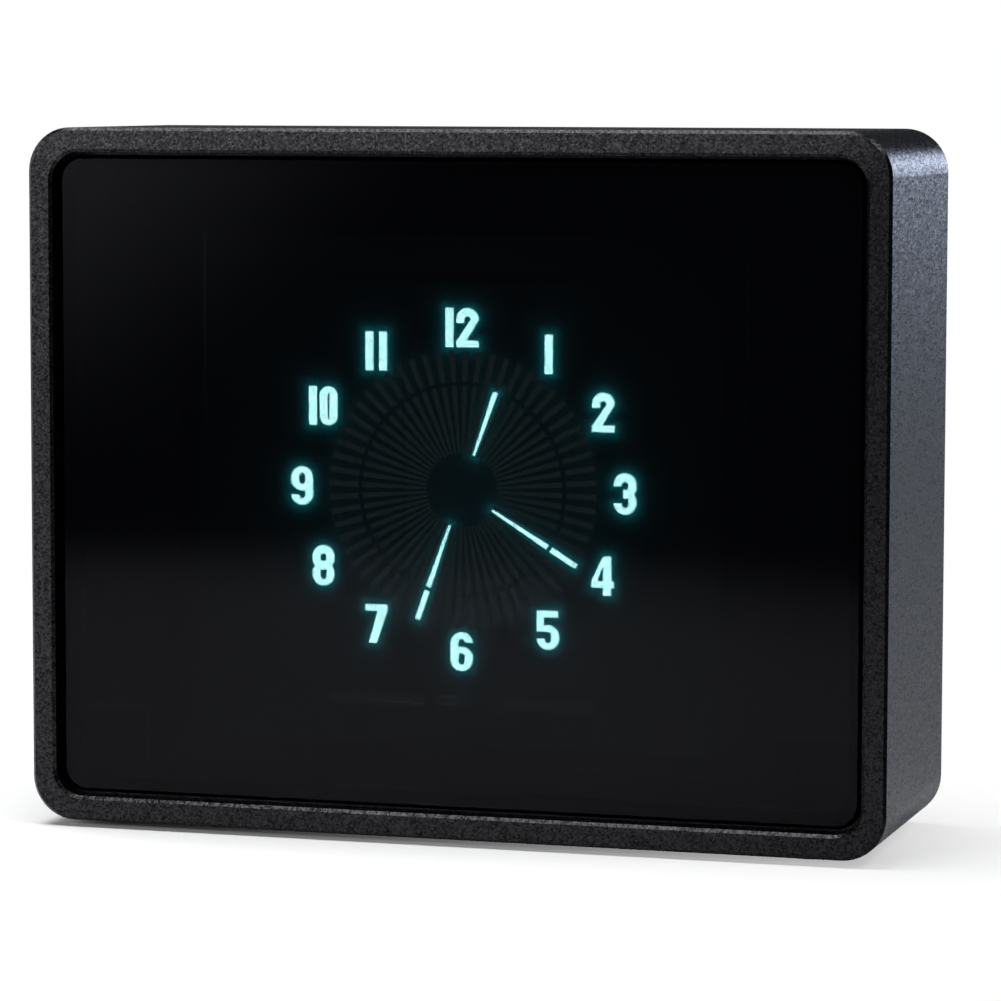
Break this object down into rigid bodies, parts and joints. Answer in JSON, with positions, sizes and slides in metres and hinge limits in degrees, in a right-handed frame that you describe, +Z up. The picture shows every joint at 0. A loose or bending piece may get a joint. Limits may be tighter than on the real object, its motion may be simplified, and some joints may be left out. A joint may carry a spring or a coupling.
{
  "type": "vacuum fluorescent clock",
  "caption": "Desk clock: a sandblasted aluminium case with a dark flush window over a vacuum fluorescent tube that shows a round dial with glowing numerals and hand segments.",
  "frame": {"origin": "on the table, under the middle of the case", "axes": "+X to the viewer's right, +Y from the front to the back, +Z up"},
  "size_m": [0.1, 0.032, 0.0802],
  "materials": {
    "graphite_aluminium": "sandblasted and anodised graphite",
    "smoked_glass": "polished, grey-tinted",
    "black_tape": "matte foam tape",
    "black_card": "matte black",
    "tube_glass": "polished clear",
    "anode_glass": "black insulating print on glass",
    "lit_phosphor": "glowing blue-green phosphor",
    "unlit_phosphor": "matte grey phosphor, unlit",
    "electrode_metal": "etched alloy sheet and wire",
    "board_laminate": "green solder resist",
    "chip_epoxy": "moulded black epoxy",
    "black_nylon": "moulded black nylon",
    "brass": "turned brass",
    "plated_steel": "nickel-plated sheet",
    "grey_acetal": "moulded grey acetal",
    "black_abs": "spark-textured black",
    "black_screw": "black oxide",
    "feet_rubber": "matte silicone rubber"
  },
  "bodies": {
    "clock": {"case_body": "graphite_aluminium", "front_window": "smoked_glass", "window_tape": "black_tape", "tube_pads": "black_tape", "display_mask": "black_card", "tube_front_glass": "tube_glass", "tube_side_frame": "tube_glass", "tube_exhaust_tip": "tube_glass", "tube_anode_plate": "anode_glass", "dial_numerals": "lit_phosphor", "hour_segment": "lit_phosphor", "minute_segments": "lit_phosphor", "second_segments": "lit_phosphor", "dial_spokes": "unlit_phosphor", "control_grid": "electrode_metal", "cathode_filaments": "electrode_metal", "filament_anchors": "electrode_metal", "filament_spring_bar": "electrode_metal", "getter_ring": "electrode_metal", "tube_leads": "electrode_metal", "display_board": "board_laminate", "control_board": "board_laminate", "controller_module": "board_laminate", "driver_chips": "chip_epoxy", "regulator_chip": "chip_epoxy", "clock_chip": "chip_epoxy", "boost_inductor": "chip_epoxy", "board_socket": "black_nylon", "board_header": "black_nylon", "cell_holder": "black_nylon", "usb_tongue": "black_nylon", "switch_bodies": "black_nylon", "front_standoffs": "brass", "rear_standoffs": "brass", "header_pins": "brass", "module_shield": "plated_steel", "cell_clip": "plated_steel", "coin_cell": "plated_steel", "crystal_can": "plated_steel", "filter_capacitors": "plated_steel", "usb_shell": "plated_steel", "rear_cover": "black_abs", "rear_screws": "black_screw", "rubber_feet": "feet_rubber"},
    "minus_key": {"minus_button": "black_abs", "minus_plunger": "grey_acetal"},
    "set_key": {"set_button": "black_abs", "set_plunger": "grey_acetal"},
    "plus_key": {"plus_button": "black_abs", "plus_plunger": "grey_acetal"}
  },
  "joints": [
    {"name": "minus_press", "type": "slide", "parent": "clock", "child": "minus_key", "axis": [0, -1, 0], "range_m": [0, 0.0003], "stiffness_N_per_m": 400},
    {"name": "set_press", "type": "slide", "parent": "clock", "child": "set_key", "axis": [0, -1, 0], "range_m": [0, 0.0003], "stiffness_N_per_m": 400},
    {"name": "plus_press", "type": "slide", "parent": "clock", "child": "plus_key", "axis": [0, -1, 0], "range_m": [0, 0.0003], "stiffness_N_per_m": 400}
  ]
}
